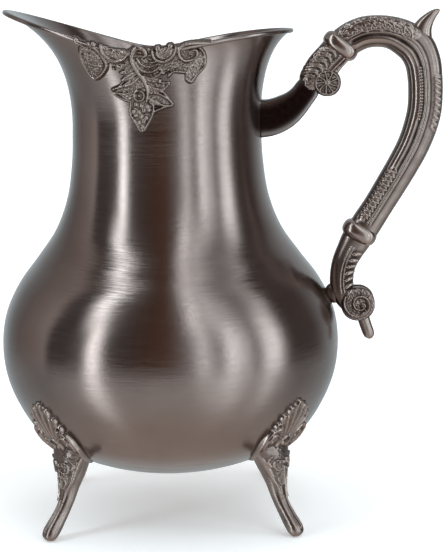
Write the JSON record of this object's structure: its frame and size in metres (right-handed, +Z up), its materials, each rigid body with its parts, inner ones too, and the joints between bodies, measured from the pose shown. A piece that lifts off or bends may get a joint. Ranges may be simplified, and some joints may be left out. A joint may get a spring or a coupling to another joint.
{
  "type": "water jug",
  "caption": "Footed copper water jug: pear-shaped spun body, flared pouring mouth with cast ornaments, carved scroll handle and palmette feet.",
  "frame": {"origin": "middle of the bounding box at floor level, under the feet", "axes": "+Z up, handle towards +X, pouring lip towards -X"},
  "size_m": [0.2224, 0.17, 0.2564],
  "materials": {
    "spun_copper": "brushed antique copper, satin, brushed round the body",
    "cast_copper": "cast antique copper, dark in the recesses and rubbed bright on the relief",
    "dark_copper": "dark oxidised copper, polished"
  },
  "bodies": {
    "root": {"body_lower_bowl": "spun_copper", "body_upper_shell": "spun_copper", "mouth_rim_bead": "spun_copper", "ornament_front": "cast_copper", "ornament_rear": "cast_copper", "handle_bracket": "dark_copper", "handle_scroll": "cast_copper", "foot_front_right": "cast_copper", "foot_front_left": "cast_copper", "foot_rear_left": "cast_copper", "foot_rear_right": "cast_copper"}
  },
  "joints": []
}
